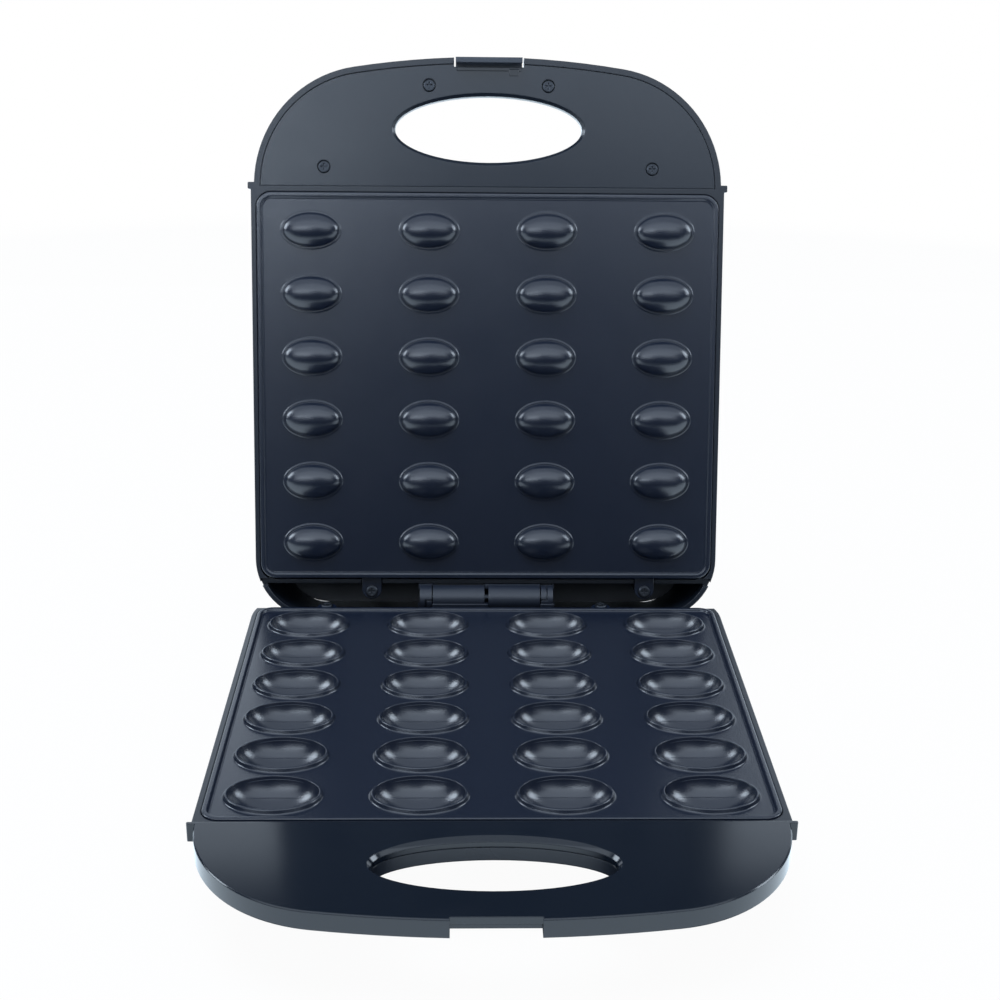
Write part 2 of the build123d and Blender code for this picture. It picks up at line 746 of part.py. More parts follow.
def knuckle_groove(turn):
    """L-shaped groove in the short knuckle, from the angle turn above the front."""
    low, high = barrel_spans()[1]
    middle = (low + high) / 2
    bottom = barrel_radius - groove_depth
    ring = slab(0, barrel_radius + 1, 0, barrel_radius + 1, groove_width, middle)
    ring -= cylinder_x(low, high, 0, 0, bottom)
    slot = slab(bottom, barrel_radius + 1, 0, groove_width, middle - low, (low + middle) / 2)
    return Rot(-turn, 0, 0) * (ring + slot)


def make_hinge_leaf(groove_turn):
    """Leaf with its own barrels, cut away where the other leaf's barrels turn."""
    front = leaf_rear + leaf_thickness
    swept = barrel_radius + stop_clearance
    relief = -sqrt(swept**2 - leaf_rear**2)
    half = barrel_spans()[1][1] + leaf_margin
    leaf = slab(leaf_rear, front, stop_level, -leaf_top, 2 * half)
    for low, high in barrel_spans():
        middle = (low + high) / 2
        leaf -= slab(-far, far, relief, far, high - low + barrel_gap, -middle)
    for low, high in barrel_spans():
        middle = (low + high) / 2
        leaf += cylinder_x(low, high, 0, 0, barrel_radius)
        leaf += slab(0, front, -barrel_radius, -leaf_top, high - low, middle)
    leaf -= cylinder_x(-far / 2, far / 2, 0, 0, pin_radius + pilot_fit)
    return drill_leaf(leaf) - knuckle_groove(groove_turn)


def drill_leaf(leaf):
    for x, z in leaf_screw_places():
        clearance = extrude(Circle(screw_radius + screw_clearance), far, both=True)
        leaf -= at(x, 0, z) * (Rot(90, 0, 0) * clearance)
    return leaf


def make_lid_hinge_leaf():
    leaf = Rot(0, 180, 0) * make_hinge_leaf(lid_groove_turn)
    bore = pin_radius + pin_running_clearance
    return (leaf - cylinder_x(-far / 2, far / 2, 0, 0, bore)).solid()


def make_hinge_pin():
    half = barrel_spans()[1][1] - pin_recess
    return cylinder_x(-half, half, 0, 0, pin_radius).solid()


def make_leaf_screws(turn):
    """Screws that fix a leaf to its bulkhead, driven from behind."""
    screw = Rot(-90, 0, 0) * cross_screw(leaf_thickness + bulkhead_wall + 1)
    return group([turn * (at(x, leaf_rear, z) * screw) for x, z in leaf_screw_places()])


# Latch

def make_latch():
    outer = latch_face
    inner = outer - latch_wall
    lip = outer - latch_lip_wall
    hook_top = -keeper_lip - keeper_gap
    hook_low = hook_top - latch_hook_thickness
    tip = lip - latch_hook_depth
    profile = [
        (outer, hook_low + 0.8), (outer - 0.8, hook_low), (tip, hook_low), (tip, hook_top - 0.5),
        (tip + 0.4, hook_top), (lip, hook_top), (lip, keeper_gap), (inner, keeper_gap),
        (inner, latch_top), (outer - 0.6, latch_top), (outer, latch_top - 0.6),
    ]
    points = [(-front, height) for front, height in profile]
    section = make_face(Polyline(*points, close=True))
    upright = Plane(origin=(-latch_width / 2, 0, 0), x_dir=(0, 1, 0), z_dir=(1, 0, 0))
    latch = extrude(upright * section, latch_width)
    half = latch_width / 2
    latch += cylinder_x(-half, half, latch_pin_front, latch_pin_height, latch_barrel_radius)
    latch += slab(latch_pin_front, inner + 0.5, latch_pin_height - latch_barrel_radius,
                  latch_pin_height + latch_web_top, latch_width)
    bore = latch_pin_radius + pin_running_clearance
    latch -= cylinder_x(-far / 2, far / 2, latch_pin_front, latch_pin_height, bore)
    return latch.solid()


def make_latch_pin():
    half = latch_width / 2 + latch_side_gap + latch_cheek
    return cylinder_x(-half, half, latch_pin_front, latch_pin_height, latch_pin_radius).solid()


# Heating, drawn for the base; the lid's is the mirror image moved up to its plate

def heater_path():
    """Serpentine under the four columns of cups."""
    xs = list(column_places())
    turn = column_pitch / 2
    rear = heater_rear + turn
    front = heater_front
    terminal = plate_rear + heater_terminal
    edges = [Line((xs[0], -terminal), (xs[0], -front))]
    for index in range(columns - 1):
        outward = index % 2 == 0
        bend = front if outward else rear
        crest = front + turn if outward else rear - turn
        start, end = (xs[index], -bend), (xs[index + 1], -bend)
        edges.append(ThreePointArc(start, ((start[0] + end[0]) / 2, -crest), end))
        if index < columns - 2:
            other = rear if outward else front
            edges.append(Line(end, (end[0], -other)))
    edges.append(Line((xs[-1], -front), (xs[-1], -terminal)))
    return edges


def make_heater():
    path = Wire(heater_path())
    start = Plane(origin=path @ 0, z_dir=path % 0)
    tube = sweep(start * Circle(heater_radius), path=path)
    return Pos(0, 0, heater_level) * tube


def column_places():
    for column in range(columns):
        yield (column - (columns - 1) / 2) * column_pitch


def clamp_post_places():
    """Cast posts beside each heater leg, between the two middle rows."""
    reach = heater_radius + clamp_post_radius + 2
    for x in column_places():
        yield x - reach, clamp_front
        yield x + reach, clamp_front


def make_heater_clamps():
    """Straps that hold the heater legs up against the cups."""
    half = heater_radius + 2 * clamp_post_radius + 3
    straps = []
    for x in column_places():
        strap = slab(clamp_front - clamp_width / 2, clamp_front + clamp_width / 2,
                     clamp_level - clamp_thickness, clamp_level, 2 * half, x)
        straps.append(strap)
    drilled = []
    for strap in straps:
        for x, front in clamp_post_places():
            strap -= cylinder_z(x, front, -far, far, screw_radius + screw_clearance)
        drilled.append(strap)
    return group(drilled)


def make_clamp_screws():
    return make_screws(clamp_post_places(), clamp_level - clamp_thickness,
                       clamp_screw_length, False)


def reflector_post_places():
    for front in (reflector_post_rear, reflector_post_front):
        yield -reflector_post_x, front
        yield reflector_post_x, front


def make_reflector():
    half = shell_width / 2 - reflector_margin - shell_wall
    rear = bulkhead_front + reflector_margin / 2
    front = reflector_front
    outer = zone(2 * half, rear, front, reflector_corner, reflector_level - reflector_sheet)
    inner = zone(2 * half - 2 * reflector_sheet, rear + reflector_sheet,
                 front - reflector_sheet, reflector_corner - reflector_sheet, reflector_level)
    pan = extrude(outer, reflector_rim) - extrude(inner, reflector_rim)
    return pan.solid()


def make_thermostat():
    level = underside_level
    reach = thermostat_radius + thermostat_ear
    body = cylinder_z(0, thermostat_front, level - thermostat_height, level, thermostat_radius)
    flange = slab(thermostat_front - reach, thermostat_front + reach, level - 1, level,
                  thermostat_radius)
    return (body + flange).solid()


def make_thermal_fuse():
    front = thermostat_front + fuse_shift
    fuse = Rot(90, 0, 0) * extrude(Circle(fuse_radius), fuse_length)
    return (at(0, front, underside_level - fuse_radius) * fuse).solid()


# Small parts

def make_screws(places, seat, length, head_up):
    """Equal screws with the seat of their heads at one level."""
    turn = Rot(0, 0, 0) if head_up else Rot(180, 0, 0)
    screw = cross_screw(length)
    return group([at(x, front, seat) * (turn * screw) for x, front in places])


def make_rubber_feet():
    foot = extrude(Circle(foot_radius), -foot_height, taper=foot_draft)
    foot += extrude(Circle(foot_stem_radius), foot_stem_length)
    return group([at(x, front, -shell_depth) * foot for x, front in foot_places()])


def make_cord_gland():
    """Flanged bush in the rear wall that the supply lead passes through."""
    bush = extrude(Circle(gland_radius), -gland_length)
    bush += extrude(Circle(gland_flange_radius), gland_flange)
    bush -= Pos(0, 0, -gland_length) * extrude(Circle(gland_bore_radius), 2 * gland_length)
    return (at(gland_x, -rear_overhang, gland_height) * (Rot(-90, 0, 0) * bush)).solid()


def make_cord_clamp():
    """Bar across the lead inside the gland, seated on the floor by two posts."""
    low = clamp_bar_front - clamp_bar_width / 2
    bar = slab(low, low + clamp_bar_width, floor_level,
               gland_height - gland_bore_radius - stop_clearance, clamp_bar_length, gland_x)
    return bar.solid()


def make_terminal_block():
    block = slab(terminal_rear, terminal_rear + terminal_width, floor_level, floor_level + terminal_height,
                 terminal_length, terminal_x)
    for index in range(3):
        x = terminal_x + (index - 1) * terminal_length / 3
        block -= cylinder_z(x, terminal_rear + terminal_width / 2, floor_level + 3, far, terminal_bore)
    return block.solid()


def make_lens(x):
    top = shell_depth
    lens = cylinder_z(x, lamp_front, top - shell_wall - 1, top, lens_radius)
    flange = cylinder_z(x, lamp_front, top, top + lens_flange, lens_flange_radius)
    flange = chamfer(flange.edges().filter_by(GeomType.CIRCLE).group_by(Axis.Z)[-1], 0.5)
    return (lens + flange).solid()


def make_lamps():
    """Neon lamps lying behind the two lenses."""
    high = shell_depth - shell_wall - 1
    lamps = []
    for x in (-lamp_x, lamp_x):
        lamps.append(cylinder_z(x, lamp_front, high - lamp_length, high, lamp_radius))
    return group(lamps)


def lid_side(piece):
    """Mirror a heating piece of the base up to the lid's plate."""
    return mirror(piece, Plane.XY)


base_ears = [(-ear_outer_x, ear_screw_front), (ear_inner_x, ear_screw_front)]
lid_ears = [(-ear_inner_x, ear_screw_front), (ear_outer_x, ear_screw_front)]
handle_screw_seat = -handle_thickness + screw_head_height + 0.3
half_turn = Rot(0, 180, 0)

base_nodes = {
    "bottom_housing": make_bottom_housing(),
    "base_handle_panel": make_base_handle_panel(),
    "lower_mould_plate": make_lower_mould_plate(),
    "lower_plate_screws": make_screws(base_ears, ear_level, screw_engagement, True),
    "base_handle_screws": make_screws(handle_screw_places(base_screw_spots), handle_screw_seat,
                                      handle_screw_length, False),
    "lower_heater": make_heater(),
    "lower_heater_clamps": make_heater_clamps(),
    "lower_clamp_screws": make_clamp_screws(),
    "lower_reflector": make_reflector(),
    "lower_thermostat": make_thermostat(),
    "thermal_fuse": make_thermal_fuse(),
    "base_hinge_leaf": make_hinge_leaf(base_groove_turn).solid(),
    "base_hinge_screws": make_leaf_screws(Rot(0, 0, 0)),
    "hinge_pin": make_hinge_pin(),
    "rubber_feet": make_rubber_feet(),
    "cord_gland": make_cord_gland(),
    "cord_clamp": make_cord_clamp(),
    "terminal_block": make_terminal_block(),
}

lid_nodes = {
    "lid_housing": make_lid_housing(),
    "lid_handle_panel": make_lid_handle_panel(),
    "lid_handle_screws": make_screws(handle_screw_places(lid_screw_spots),
                                     lid_panel_inset + screw_head_height - 0.2,
                                     handle_screw_length, False),
    "upper_mould_plate": make_upper_mould_plate(),
    "upper_plate_screws": make_screws(lid_ears, lid_ear_level, screw_engagement, False),
    "upper_heater": lid_side(make_heater()),
    "upper_reflector": lid_side(make_reflector()),
    "upper_heater_clamps": lid_side(make_heater_clamps()),
    "upper_clamp_screws": lid_side(make_clamp_screws()),
    "upper_thermostat": Pos(0, 0, lid_plate_gap + face_level) * lid_side(make_thermostat()),
    "lid_hinge_leaf": make_lid_hinge_leaf(),
    "lid_hinge_screws": make_leaf_screws(half_turn),
    "power_lens": make_lens(-lamp_x),
    "ready_lens": make_lens(lamp_x),
    "neon_lamps": make_lamps(),
    "latch_pin": make_latch_pin(),
}

latch_nodes = {
    "latch": make_latch(),
}

swing = Rot(-open_angle, 0, 0)
nodes = dict(base_nodes)
nodes.update({name: swing * piece for name, piece in {**lid_nodes, **latch_nodes}.items()})

# The origin is on the surface that the feet stand on, under the middle of the opened maker
boxes = [piece.bounding_box() for piece in nodes.values()]
middle_x = (min(box.min.X for box in boxes) + max(box.max.X for box in boxes)) / 2
middle_y = (min(box.min.Y for box in boxes) + max(box.max.Y for box in boxes)) / 2
settle = Pos(-middle_x, -middle_y, -min(box.min.Z for box in boxes))

os.makedirs("parts", exist_ok=True)
for name, piece in nodes.items():
    export_step(settle * piece, f"parts/{name}.step")

print("hinge axis", (settle * Pos(0, 0, 0)).position)
print("latch axis", (settle * swing * at(0, latch_pin_front, latch_pin_height)).position)
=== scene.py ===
import json
import math
import bmesh
import bpy
from mathutils import Matrix, Vector


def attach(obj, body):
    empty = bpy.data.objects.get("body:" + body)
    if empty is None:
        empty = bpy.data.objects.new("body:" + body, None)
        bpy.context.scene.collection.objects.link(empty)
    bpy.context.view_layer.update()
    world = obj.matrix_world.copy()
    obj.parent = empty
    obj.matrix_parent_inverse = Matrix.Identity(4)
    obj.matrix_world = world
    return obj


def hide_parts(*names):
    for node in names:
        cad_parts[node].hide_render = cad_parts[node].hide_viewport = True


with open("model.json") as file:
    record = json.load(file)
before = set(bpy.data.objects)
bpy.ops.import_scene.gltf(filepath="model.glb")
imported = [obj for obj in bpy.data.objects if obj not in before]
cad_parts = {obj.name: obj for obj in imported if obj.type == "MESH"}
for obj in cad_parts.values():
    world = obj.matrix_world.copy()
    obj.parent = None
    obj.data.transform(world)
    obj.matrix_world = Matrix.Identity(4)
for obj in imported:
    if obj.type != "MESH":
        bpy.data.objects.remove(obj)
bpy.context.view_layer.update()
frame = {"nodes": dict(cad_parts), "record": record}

print("frame loaded")

# Everything is drawn in millimetres round the hinge: x to the right, distance in front of
# the hinge, height over the parting plane. The lid is drawn shut and turned open.
joints = {joint["name"]: joint for joint in frame["record"]["behaviour"]["joints"]}
hinge = Vector(joints["lid_hinge"]["pos_m"])
openAngle = math.radians(joints["lid_hinge"]["range_deg"][1])
millimetres = Matrix.Scale(0.001, 4)
baseSpace = Matrix.Translation(hinge) @ millimetres
lidSpace = Matrix.Translation(hinge) @ Matrix.Rotation(-openAngle, 4, "X") @ millimetres


# Camera, as the photograph was taken

camera = {
    "eye": (-13.64, 769.6, 356.3),  # millimetres: x, in front of the hinge, over it
    "down": 21.26,  # degrees
    "turn": -1.52,
    "roll": 0.73,
    "lens": 56.24,
    "sensor": 36,
    "clip": (0.05, 30),  # metres
}


def addCamera(c):
    data = bpy.data.cameras.new("camera")
    data.lens = c["lens"]
    data.sensor_width = c["sensor"]
    data.clip_start, data.clip_end = c["clip"]
    eye = bpy.data.objects.new("camera", data)
    bpy.context.collection.objects.link(eye)
    down, turn, roll = (math.radians(c[key]) for key in ("down", "turn", "roll"))
    level = Vector((-math.sin(turn), math.cos(turn), 0))
    sight = level * math.cos(down) - Vector((0, 0, math.sin(down)))
    side = Vector((math.cos(turn), math.sin(turn), 0))
    above = side.cross(sight)
    right = side * math.cos(roll) + above * math.sin(roll)
    top = above * math.cos(roll) - side * math.sin(roll)
    facing = Matrix((right, top, -sight)).transposed().to_4x4()
    x, front, height = c["eye"]
    eye.matrix_world = Matrix.Translation(baseSpace @ Vector((x, -front, height))) @ facing
    bpy.context.scene.camera = eye


addCamera(camera)
print("camera placed")


# Light and stage

toFloor = (0, 0, -1)  # the ways in which panels face
toBack = (0, 1, 0)
toFront = (0, -1, 0)
toRight = (1, 0, 0)
toLeft = (-1, 0, 0)
plainWhite = (1, 1, 1, 1)

studio = {
    "floorSize": 9.0,
    "floorDrop": 0.0002,  # how far under the feet it lies
    "floorColor": (0.80, 0.82, 0.85, 1),
    "floorRough": 0.9,
    "floorGlow": 0.96,  # how much of the floor is plain white to the camera and in gloss
    "floorShine": 2.1,  # how bright that is in gloss
    "floorTint": (0.74, 0.88, 1.0, 1),  # and its colour there
    "floorPlain": (0.3, 1.5),  # metres from the object over which the floor's shading fades out
    "paintedShadowUnder": (0.125, 0.185),  # half the width and depth of the painted shadow under the object, where gloss sees the floor dark
    "paintedShadowBlur": 0.02,
    "floorFront": (0.52, 0.29),  # metres in front where the floor is dark in gloss, and where not
    "floorSlope": 1.3,  # half the width of that dark stretch over its distance
    "floorSlopeBlur": 0.1,
    "air": (0.77, 0.88, 1.0, 1),
    "fill": 0.62,  # what matt surfaces get from all round
    "dark": 0.05,  # the tent between its panels, in gloss
    "lampPower": 4,  # watts for a square metre of panel as bright as white
    "panels": {  # metres; light is the panel's brightness, where 1 is white
        "ceilingFront": {"at": (0.0, -0.8, 1.15), "size": (2.8, 0.8), "faces": toFloor, "light": 1.5},
        "ceilingBack": {"at": (0.0, 0.15, 1.15), "size": (2.8, 1.1), "faces": toFloor, "light": 0.8},
        "over": {"at": (-0.25, -1.2, 0.97), "size": (2.5, 0.36), "faces": toBack, "light": 2.1},
        "overLeft": {"at": (-0.75, -1.2, 0.74), "size": (1.14, 0.12), "faces": toBack, "light": 6.8},
        "overRight": {"at": (0.75, -1.2, 0.74), "size": (1.10, 0.12), "faces": toBack, "light": 1.6},
        "backLeft": {"at": (-0.62, 1.0, 0.42), "size": (1.25, 0.84), "faces": toFront, "light": 1.22},
        "backRight": {"at": (0.92, 1.0, 0.42), "size": (1.20, 0.84), "faces": toFront, "light": 1.3},
        "frontLeft": {"at": (-0.72, -1.2, 0.50), "size": (0.9, 0.26), "faces": toBack, "light": 0.5},
        "frontRight": {"at": (0.74, -1.2, 0.50), "size": (0.9, 0.26), "faces": toBack, "light": 0.35},
        "leftBox": {"at": (-0.95, 0.10, 0.60), "size": (0.42, 0.50), "faces": toRight, "light": 8.0},
        "rightBox": {"at": (0.95, 0.03, 0.60), "size": (0.40, 0.50), "faces": toLeft, "light": 7.2},
    },
    "matt": {"at": (-0.35, -0.45, 2.2), "size": (1.6, 1.1), "faces": (0.16, 0.2, -0.97), "light": 4.8},
}


def calculate(tree, operation, *terms):
    # one math node, fed by numbers or by other nodes' outputs
    node = tree.nodes.new("ShaderNodeMath")
    node.operation = operation
    for socket, term in zip(node.inputs, terms):
        if isinstance(term, (int, float)):
            socket.default_value = term
        else:
            tree.links.new(term, socket)
    return node.outputs[0]


def fade(tree, value, start, end):
    # 0 up to start and 1 past end
    node = tree.nodes.new("ShaderNodeMapRange")
    node.interpolation_type = "SMOOTHSTEP"
    node.inputs["From Min"].default_value = start
    node.inputs["From Max"].default_value = end
    tree.links.new(value, node.inputs["Value"])
    return node.outputs["Result"]


def addPanel(name, panel, s, glossy):
    # an area lamp that either gloss sees or matt surfaces are lit by
    wide, deep = panel["size"]
    data = bpy.data.lights.new(name, "AREA")
    data.shape = "RECTANGLE"
    data.size, data.size_y = wide, deep
    data.energy = s["lampPower"] * wide * deep * panel["light"]
    data.color = s["air"][:3]
    lamp = bpy.data.objects.new(name, data)
    bpy.context.collection.objects.link(lamp)
    lamp.location = panel["at"]
    lamp.rotation_euler = Vector(panel["faces"]).to_track_quat("-Z", "Y").to_euler()
    lamp.visible_glossy = glossy
    lamp.visible_diffuse = not glossy


def seenDirectly(tree):
    # camera rays, and what gloss and glass show
    rays = tree.nodes.new("ShaderNodeLightPath")
    mirrored, through = rays.outputs["Is Glossy Ray"], rays.outputs["Is Transmission Ray"]
    return rays.outputs["Is Camera Ray"], calculate(tree, "MAXIMUM", mirrored, through)


def mixShaders(tree, share, first, second):
    node = tree.nodes.new("ShaderNodeMixShader")
    tree.links.new(share, node.inputs[0])
    tree.links.new(first, node.inputs[1])
    tree.links.new(second, node.inputs[2])
    return node.outputs[0]


def lightUp(s):
    for name, panel in s["panels"].items():
        addPanel(name, panel, s, True)
    addPanel("matt", s["matt"], s, False)
    scene = bpy.context.scene
    scene.view_settings.view_transform = "Standard"
    world = bpy.data.worlds.new("tent")
    scene.world = world
    world.use_nodes = True
    world.cycles.sampling_method = "NONE"
    tree = world.node_tree
    tree.nodes.clear()
    out = tree.nodes.new("ShaderNodeOutputWorld")
    shades = []
    for strength, color in ((s["fill"], s["air"]), (s["dark"], s["air"]), (1.0, plainWhite)):
        shade = tree.nodes.new("ShaderNodeBackground")
        shade.inputs["Color"].default_value = color
        shade.inputs["Strength"].default_value = strength
        shades.append(shade.outputs[0])
    fill, tent, white = shades
    camera, gloss = seenDirectly(tree)
    mirrored = mixShaders(tree, gloss, fill, tent)
    tree.links.new(mixShaders(tree, camera, mirrored, white), out.inputs[0])


def floorInGloss(tree, s):
    # 1 where gloss sees the floor white, 0 on the dark stretch in front and in the painted shadow
    # under the object
    place = tree.nodes.new("ShaderNodeTexCoord")
    split = tree.nodes.new("ShaderNodeSeparateXYZ")
    tree.links.new(place.outputs["Object"], split.inputs["Vector"])
    y = split.outputs["Y"]
    sideways = calculate(tree, "ABSOLUTE", split.outputs["X"])
    outside = calculate(tree, "MULTIPLY_ADD", y, s["floorSlope"], sideways)
    far, near = s["floorFront"]
    blur = s["floorSlopeBlur"]
    gap = calculate(tree, "MULTIPLY", fade(tree, outside, blur, -blur), fade(tree, y, -near, -far))
    # painted shadow: in gloss the floor is dark where the object stands over it
    wide, deep = s["paintedShadowUnder"]
    soft = s["paintedShadowBlur"]
    across = fade(tree, sideways, wide + soft, wide - soft)
    along = fade(tree, calculate(tree, "ABSOLUTE", y), deep + soft, deep - soft)
    paintedShadow = calculate(tree, "MULTIPLY", across, along)
    return calculate(tree, "SUBTRACT", 1.0, calculate(tree, "MAXIMUM", gap, paintedShadow))


def paintFloor(s):
    paint = bpy.data.materials.new("floorPaint")
    paint.use_nodes = True
    tree = paint.node_tree
    shader = tree.nodes["Principled BSDF"]
    shader.inputs["Base Color"].default_value = s["floorColor"]
    shader.inputs["Roughness"].default_value = s["floorRough"]
    glow = tree.nodes.new("ShaderNodeEmission")
    camera, gloss = seenDirectly(tree)
    white = calculate(tree, "MAXIMUM", camera, gloss)
    place = tree.nodes.new("ShaderNodeTexCoord")
    away = tree.nodes.new("ShaderNodeVectorMath")
    away.operation = "LENGTH"
    tree.links.new(place.outputs["Object"], away.inputs[0])
    plain = fade(tree, away.outputs["Value"], *s["floorPlain"])
    share = calculate(tree, "MULTIPLY", white, calculate(tree, "MAXIMUM", plain, s["floorGlow"]))
    bright = calculate(tree, "MULTIPLY", floorInGloss(tree, s), s["floorShine"])
    shine = calculate(tree, "MULTIPLY", gloss, bright)
    tree.links.new(calculate(tree, "ADD", camera, shine), glow.inputs["Strength"])
    tint = tree.nodes.new("ShaderNodeMix")
    tint.data_type = "RGBA"
    tint.inputs["A"].default_value = plainWhite
    tint.inputs["B"].default_value = s["floorTint"]
    tree.links.new(gloss, tint.inputs["Factor"])
    tree.links.new(tint.outputs["Result"], glow.inputs["Color"])
    tree.links.new(mixShaders(tree, share, shader.outputs[0], glow.outputs[0]),
                   tree.nodes["Material Output"].inputs[0])
    return paint


def layFloor(s):
    half = s["floorSize"] / 2
    mesh = bpy.data.meshes.new("floor")
    corners = [(x, y, -s["floorDrop"])
               for x, y in ((-half, -half), (half, -half), (half, half), (-half, half))]
    mesh.from_pydata(corners, [], [(0, 1, 2, 3)])
    mesh.materials.append(paintFloor(s))
    floor = bpy.data.objects.new("floor", mesh)
    bpy.context.collection.objects.link(floor)


lightUp(studio)
layFloor(studio)
print("studio lit")


# Finishes

coating = {
    "grainDetail": 2,
    "grainHeight": 0.00005,  # metres
    "mottleDetail": 4,
    "edgeSamples": 4,
    "wearAndSheenFrom": 0.98,  # dot product of rounded and true normal where the lighter edge colour, wear and painted highlight, starts
    "wearAndSheenTo": 0.75,  # and where it is at its most
    "wearAndSheenMost": 0.55,  # share of the lighter edge colour there
}


def newGroup(name, inputs, outputs):
    tree = bpy.data.node_groups.new(name, "ShaderNodeTree")
    for label, kind, value in inputs:
        socket = tree.interface.new_socket(label, in_out="INPUT", socket_type=kind)
        socket.default_value = value
    for label, kind in outputs:
        tree.interface.new_socket(label, in_out="OUTPUT", socket_type=kind)
    return tree, tree.nodes.new("NodeGroupInput"), tree.nodes.new("NodeGroupOutput")


def addNoise(tree, place, scale, detail):
    noise = tree.nodes.new("ShaderNodeTexNoise")
    noise.inputs["Detail"].default_value = detail
    tree.links.new(place, noise.inputs["Vector"])
    tree.links.new(scale, noise.inputs["Scale"])
    return noise.outputs["Fac"]


def makeCoatFinish(c):
    # fine grain, faint mottling and lighter edges for coatings and moulded plastic; the lighter edges
    # are partly wear and partly a painted highlight
    tree, start, end = newGroup(
        "coatFinish",
        [("Color", "NodeSocketColor", (0.02, 0.025, 0.035, 1)),
         ("Wear And Sheen Color", "NodeSocketColor", (0.05, 0.06, 0.08, 1)),
         ("Roughness", "NodeSocketFloat", 0.4),
         ("Roughness Spread", "NodeSocketFloat", 0.06),
         ("Grain Scale", "NodeSocketFloat", 2500.0),
         ("Grain Depth", "NodeSocketFloat", 0.1),
         ("Mottle Scale", "NodeSocketFloat", 40.0),
         ("Edge Radius", "NodeSocketFloat", 0.0006)],
        [("Color", "NodeSocketColor"), ("Roughness", "NodeSocketFloat"),
         ("Normal", "NodeSocketVector")])
    nodes, links = tree.nodes, tree.links
    place = nodes.new("ShaderNodeTexCoord").outputs["Object"]
    grain = addNoise(tree, place, start.outputs["Grain Scale"], c["grainDetail"])
    mottle = addNoise(tree, place, start.outputs["Mottle Scale"], c["mottleDetail"])
    centred = calculate(tree, "SUBTRACT", mottle, 0.5)
    rough = calculate(tree, "MULTIPLY_ADD", centred, start.outputs["Roughness Spread"],
                      start.outputs["Roughness"])
    rounded = nodes.new("ShaderNodeBevel")
    rounded.samples = c["edgeSamples"]
    links.new(start.outputs["Edge Radius"], rounded.inputs["Radius"])
    form = nodes.new("ShaderNodeNewGeometry")
    across = nodes.new("ShaderNodeVectorMath")
    across.operation = "DOT_PRODUCT"
    links.new(rounded.outputs["Normal"], across.inputs[0])
    links.new(form.outputs["Normal"], across.inputs[1])
    wearAndSheen = nodes.new("ShaderNodeMapRange")
    wearAndSheen.inputs["From Min"].default_value = c["wearAndSheenFrom"]
    wearAndSheen.inputs["From Max"].default_value = c["wearAndSheenTo"]
    wearAndSheen.inputs["To Min"].default_value = 0.0
    wearAndSheen.inputs["To Max"].default_value = c["wearAndSheenMost"]
    links.new(across.outputs["Value"], wearAndSheen.inputs["Value"])
    # edges are mixed towards the lighter colour: wear and painted highlight
    paint = nodes.new("ShaderNodeMix")
    paint.data_type = "RGBA"
    links.new(wearAndSheen.outputs["Result"], paint.inputs["Factor"])
    links.new(start.outputs["Color"], paint.inputs["A"])
    links.new(start.outputs["Wear And Sheen Color"], paint.inputs["B"])
    bump = nodes.new("ShaderNodeBump")
    bump.inputs["Distance"].default_value = c["grainHeight"]
    links.new(start.outputs["Grain Depth"], bump.inputs["Strength"])
    links.new(grain, bump.inputs["Height"])
    links.new(rounded.outputs["Normal"], bump.inputs["Normal"])
    links.new(paint.outputs["Result"], end.inputs["Color"])
    links.new(rough, end.inputs["Roughness"])
    links.new(bump.outputs["Normal"], end.inputs["Normal"])
    return tree


coatFinish = makeCoatFinish(coating)

plainFinish = {  # what a finish has where it says nothing else
    "spread": 0.05,
    "grainScale": 2500,
    "edge": 0.0006,  # metres
    "wearAndSheenGain": 1.7,  # edges are this much lighter, partly as wear and partly as a painted highlight, plus a little of their own
    "wearAndSheenLift": (0.004, 0.005, 0.007),
    "metal": 0.0,
    "specular": 0.5,
    "clear": 0.0,
}
finishes = {
    "base_shell": {"color": (0.010, 0.014, 0.023), "rough": 0.28, "grain": 0.10},
    "lid_shell": {"color": (0.009, 0.013, 0.022), "rough": 0.32, "grain": 0.12},
    "gloss_panel": {"color": (0.006, 0.010, 0.018), "rough": 0.13, "grain": 0.03, "spread": 0.03},
    "satin_panel": {"color": (0.009, 0.014, 0.024), "rough": 0.25, "grain": 0.35},
    # the coating's much lighter edge colour is partly wear and partly a painted highlight that lights
    # up the cup rims' crests
    "mould_coating": {"color": (0.0075, 0.0125, 0.027), "rough": 0.245, "grain": 1.0,
                      "specular": 0.68, "edge": 0.0003, "grainScale": 1700,
                      "wearAndSheen": (0.060, 0.075, 0.105)},
    "hinge_metal": {"color": (0.013, 0.018, 0.031), "rough": 0.40, "grain": 0.6, "spread": 0.10},
    "screw_steel": {"color": (0.042, 0.047, 0.057), "rough": 0.38, "grain": 0.2, "metal": 0.75},
    "heater_steel": {"color": (0.22, 0.22, 0.22), "rough": 0.5, "grain": 0.3, "metal": 1.0},
    "sheet_steel": {"color": (0.6, 0.6, 0.6), "rough": 0.35, "grain": 0.1, "metal": 1.0},
    "ceramic": {"color": (0.8, 0.78, 0.72), "rough": 0.7, "grain": 0.3},
    "dark_plastic": {"color": (0.015, 0.016, 0.018), "rough": 0.45, "grain": 0.3},
    "foot_rubber": {"color": (0.016, 0.016, 0.017), "rough": 0.75, "grain": 0.8},
    # painted reflection: the latch is given a lighter colour than the other dark plastics so that its
    # shaded face reads as lit
    "latch_plastic": {"color": (0.032, 0.040, 0.056), "rough": 0.45, "grain": 0.2},
    "red_lens": {"color": (0.45, 0.015, 0.012), "rough": 0.12, "grain": 0.02, "clear": 0.5},
    "green_lens": {"color": (0.015, 0.30, 0.05), "rough": 0.12, "grain": 0.02, "clear": 0.5},
    "lamp_glass": {"color": (0.9, 0.85, 0.8), "rough": 0.05, "grain": 0.0, "clear": 0.9},
}


